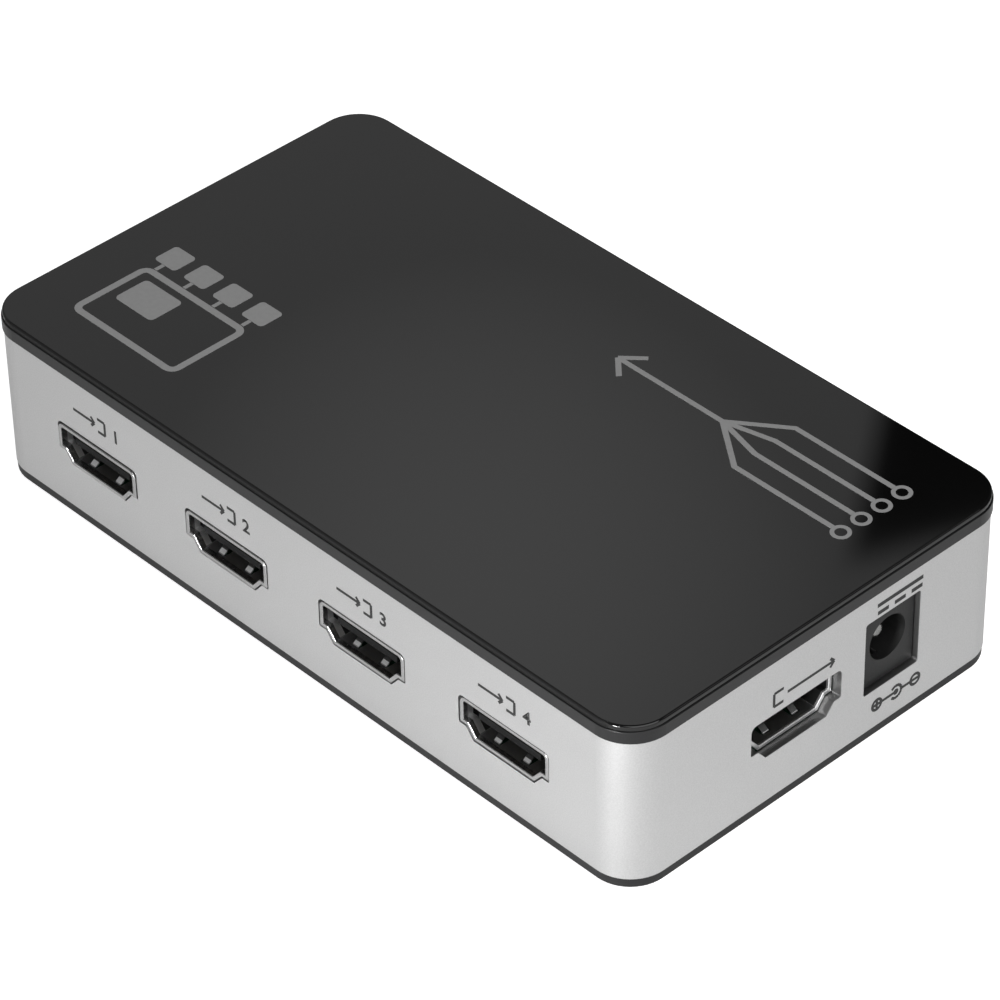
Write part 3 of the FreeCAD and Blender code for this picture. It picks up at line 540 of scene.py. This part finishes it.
def arrowParts(middle, arrow):
    line = socketLabel["line"]
    half = socketLabel["height"] / 2
    barb = half * socketLabel["barb"]
    reach = arrow["length"] / 2
    x = middle + arrow["shift"]
    y = socketLabel["base"] + half - arrow["drop"]
    tip = (x + reach, y)
    parts = [
        stroke((x - reach, y), tip, line),
        stroke((tip[0] - barb, y + barb), tip, line),
        stroke((tip[0] - barb, y - barb), tip, line),
    ]
    wall = x + arrow["side"] * (reach + arrow["gap"])
    back = wall + arrow["side"] * arrow["bracket"]
    for side in (-1, 1):
        parts.append(stroke((wall, y + side * half), (back, y + side * half), line))
    parts.append(stroke((back, y - half), (back, y + half), line))
    return parts


def labelInputs():
    for port in range(1, 5):
        low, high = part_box("input_shell_%d" % port)
        middle = (low.x + high.x) / 2 / millimetre
        parts = arrowParts(middle, inArrow)
        parts.append(numeral(str(port), middle + socketLabel["numeral"], socketLabel["base"]))
        layPrint("inputLabel_%d" % port, parts, "front", darkInk)


def labelOutput():
    low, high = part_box("output_shell")
    middle = (low.y + high.y) / 2 / millimetre
    layPrint("outputLabel", arrowParts(middle, outArrow), "end", darkInk)


# the sign for direct current: a line over three dashes
powerLabel = {
    "middle": 13.0,
    "level": 20.75,
    "gap": 1.2,
    "length": 8.0,
    "line": 0.588,
    "dash": 0.24,
    "dashPitch": 0.37,
}


def labelPower():
    middle = powerLabel["middle"]
    length = powerLabel["length"]
    line = powerLabel["line"]
    rise = powerLabel["gap"] / 2
    parts = [bar(middle, powerLabel["level"] + rise, length, line)]
    for step in (-1, 0, 1):
        place = middle + step * length * powerLabel["dashPitch"]
        parts.append(bar(place, powerLabel["level"] - rise, length * powerLabel["dash"], line))
    layPrint("powerLabel", parts, "end", darkInk)


# the polarity sign: plus and minus in rings, and between them a dot in an open cup
polarityLabel = {
    "middle": 13.0,
    "level": 5.45,
    "radius": 1.0,
    "reach": 3.4,
    "line": 0.42,
    "sign": 1.2,
    "dot": 0.45,
    "cupFrom": -140,
    "cupTurn": 40,
    "cupSteps": 7,
    "cupStem": 0.9,
}


def labelPolarity():
    middle = polarityLabel["middle"]
    level = polarityLabel["level"]
    radius = polarityLabel["radius"]
    reach = polarityLabel["reach"]
    line = polarityLabel["line"]
    sign = radius * polarityLabel["sign"]

    def onCup(step):
        turn = math.radians(polarityLabel["cupTurn"] * step + polarityLabel["cupFrom"])
        return (middle + radius * math.cos(turn), level + radius * math.sin(turn))

    parts = [
        ring(middle - reach, level, radius, line),
        ring(middle + reach, level, radius, line),
        bar(middle - reach, level, sign, line),
        bar(middle - reach, level, line, sign),
        bar(middle + reach, level, sign, line),
        disc(middle, level, polarityLabel["dot"]),
        stroke((middle - reach + radius, level), (middle, level), line),
        stroke((middle + radius * polarityLabel["cupStem"], level), (middle + reach - radius, level), line),
    ]
    for step in range(polarityLabel["cupSteps"]):
        parts.append(stroke(onCup(step), onCup(step + 1), line))
    layPrint("polarityLabel", parts, "end", darkInk)


# one picture on the plate: a screen with a small one in it, over a row of small screens
screens = {
    "x": 40.5,
    "y": 14.5,
    "wide": 20.0,
    "high": 13.0,
    "line": 1.0,
    "rise": 4.0,
    "corner": 1.6,
    "innerShift": 0.2,
    "innerDrop": 0.13,
    "innerWide": 0.36,
    "innerHigh": 0.42,
    "innerCorner": 0.7,
    "count": 4,
    "pitch": 3.55,
    "drop": 6.0,
    "smallWide": 0.2,
    "smallHigh": 0.3,
    "smallCorner": 0.6,
    "stemLow": 4.0,
    "stemHigh": 2.6,
    "stemLine": 0.6,
}


def printScreens():
    x, y, wide, high = (screens[key] for key in ("x", "y", "wide", "high"))
    line = screens["line"]
    centre = y + screens["rise"]
    parts = [
        hollowed(softBox(x, centre, wide, high, screens["corner"]), line),
        softBox(x + wide * screens["innerShift"], centre - high * screens["innerDrop"],
                wide * screens["innerWide"], high * screens["innerHigh"], screens["innerCorner"]),
    ]
    for step in range(screens["count"]):
        place = x + (step - (screens["count"] - 1) / 2) * wide / screens["pitch"]
        parts.append(softBox(place, y - screens["drop"], wide * screens["smallWide"],
                             high * screens["smallHigh"], screens["smallCorner"]))
        stem = [(place, y - screens[key]) for key in ("stemLow", "stemHigh")]
        parts.append(stroke(*stem, line * screens["stemLine"]))
    layPrint("screenPicture", parts, "top", paleInk)


# the other picture: lines with rings at their ends that run into one arrow
merging = {
    "left": -5.5,
    "right": -51.0,
    "y": -17.2,
    "count": 4,
    "pitch": 3.6,
    "line": 0.75,
    "ring": 1.35,
    "ringLine": 0.75,
    "knee": 0.42,
    "join": 0.58,
    "shaft": 1.2,
    "barbBack": 3.6,
    "barbWide": 2.6,
    "barbTip": 0.8,
}


def printMerging():
    y, line, radius = (merging[key] for key in ("y", "line", "ring"))
    start, end = merging["left"], merging["right"]
    knee = end + (start - end) * merging["knee"]
    join = end + (start - end) * merging["join"]
    parts = []
    for step in range(merging["count"]):
        level = y + (step - (merging["count"] - 1) / 2) * merging["pitch"]
        parts.append(ring(end + radius, level, radius, line * merging["ringLine"]))
        parts.append(stroke((end + 2 * radius, level), (knee, level), line))
        parts.append(stroke((knee, level), (join, y), line))
        parts.append(disc(knee, level, line / 2))
    parts.append(disc(join, y, line / 2))
    parts.append(stroke((join, y), (start - merging["shaft"], y), line))
    for side in (-1, 1):
        tail = (start - merging["barbBack"], y + side * merging["barbWide"])
        parts.append(stroke(tail, (start - merging["barbTip"], y), line))
    layPrint("mergingPicture", parts, "top", paleInk)


labelInputs()
labelOutput()
labelPower()
labelPolarity()
printScreens()
printMerging()
print("prints laid")


# stage: floor, world and lamps
stage = {
    "floorSize": 6.0,
    "floorShade": 0.8,
    "floorTint": 1.02,
    "floorCloud": 3.0,
    "floorLift": 0.75,
    "sky": 0.395,
}

# what gloss mirrors: a room with dim walls, darker above, a glow behind the object, and a
# dark card with two straight edges beside it
mirrored = {
    "walls": 0.47,
    "overhead": 0.02,
    "wallTop": 12.0,
    "darkAbove": 36.0,
    "glowAzimuth": 227.5,
    "glowElevation": 40.2,
    "glowReach": 4.3,
    "glow": 0.36,
    "cardSide": (0.8066, 0.5772, 0.1279),
    "cardTop": (-0.6188, 0.2654, -0.7394),
    "cardFade": 0.003,
}

# patches of that room: azimuth, elevation, reach and fade in degrees, and level
patches = (
    (120, 10, 50, 15, 0.04),
    (285, 30, 38, 12, 0.3),
    (335, 20, 30, 10, 0.2),
    (227, 39, 9.5, 4, 0.52),
    (136, 42, 4, 4, 1.4),
)


def direction(azimuth, elevation):
    turn, rise = math.radians(azimuth), math.radians(elevation)
    return (math.sin(turn) * math.cos(rise), -math.cos(turn) * math.cos(rise), math.sin(rise))


def addFloor():
    nothingSelected()
    bpy.ops.mesh.primitive_plane_add(size=stage["floorSize"])
    floor = bpy.context.object
    floor.name = "studioFloor"
    finish = Finish("floorPaint")
    cloud = finish.noise(stage["floorCloud"])
    shade = finish.blend(cloud, grey(stage["floorShade"]), grey(stage["floorShade"] * stage["floorTint"]))
    paint = finish.node("ShaderNodeBsdfDiffuse", {}, {"Color": shade})
    seen = finish.node("ShaderNodeLightPath", output="Is Camera Ray")
    glow = finish.node("ShaderNodeEmission", {}, {"Color": grey(1.0), "Strength": seen * stage["floorLift"]})
    finish.close(finish.node("ShaderNodeAddShader", {}, {0: paint, 1: glow}))
    floor.data.materials.append(finish.holder)


def addWorld():
    world = bpy.context.scene.world or bpy.data.worlds.new("studio")
    bpy.context.scene.world = world
    finish = Finish("studio", world)

    way = finish.node("ShaderNodeTexCoord", output="Generated")

    def along(axis):
        return finish.node("ShaderNodeVectorMath", {"operation": "DOT_PRODUCT"}, {0: way, 1: axis},
                           output="Value")

    def ramp(value, low, high):
        return ((value - low) / (high - low)).clipped()

    def patch(azimuth, elevation, reach, fade):
        edge, core = (math.cos(math.radians(turn)) for turn in (reach + fade, reach))
        return ramp(along(direction(azimuth, elevation)), edge, core)

    low, high = (math.sin(math.radians(mirrored[key])) for key in ("wallTop", "darkAbove"))
    dimming = ramp(along((0.0, 0.0, 1.0)), low, high)
    room = mirrored["walls"] + dimming * (mirrored["overhead"] - mirrored["walls"])
    for azimuth, elevation, reach, fade, level in patches:
        room = room + patch(azimuth, elevation, reach, fade) * (level - room)
    glow = patch(mirrored["glowAzimuth"], mirrored["glowElevation"], 0.0, mirrored["glowReach"])
    room = room + glow * mirrored["glow"]
    width = mirrored["cardFade"]
    card = ramp(along(mirrored["cardSide"]), -width, width)
    card = card * ramp(along(mirrored["cardTop"]), -width, width)
    room = room * (1.0 - card)

    camera = finish.node("ShaderNodeLightPath", output="Is Camera Ray")
    glossy = finish.node("ShaderNodeLightPath", output="Is Glossy Ray")
    clear = finish.node("ShaderNodeLightPath", output="Is Transmission Ray")
    level = stage["sky"] + glossy * (room - stage["sky"])
    level = level + finish.maths("MAXIMUM", camera, clear) * (1.0 - level)
    sky = finish.node("ShaderNodeBackground", {}, {"Color": grey(1.0), "Strength": level})
    finish.close(sky, "ShaderNodeOutputWorld")


def addLamp(name, place, aim, size, power):
    bpy.ops.object.light_add(type="AREA")
    lamp = bpy.context.object
    lamp.name = name
    lamp.data.size = size
    lamp.data.energy = power
    lamp.visible_camera = False
    back = Vector(place) - Vector(aim)
    lamp.matrix_world = Matrix.Translation(place) @ back.to_track_quat("Z", "Y").to_matrix().to_4x4()


lamps = {
    "lowLamp": {"place": (0.14, -0.41, 0.05), "aim": (0.05, -0.03, 0.012), "size": 0.06, "power": 1.675},
    "nearLamp": {"place": (0.085, -0.12, 0.03), "aim": (0.056, -0.03, 0.012), "size": 0.015, "power": 0.0338},
    "wideLamp": {"place": (0.45, -0.12, 0.36), "aim": (0.07, -0.02, 0.0), "size": 0.6, "power": 2.25},
}

addFloor()
addWorld()
for name, lamp in lamps.items():
    addLamp(name, **lamp)
bpy.context.scene.view_settings.view_transform = "Standard"
print("stage set")
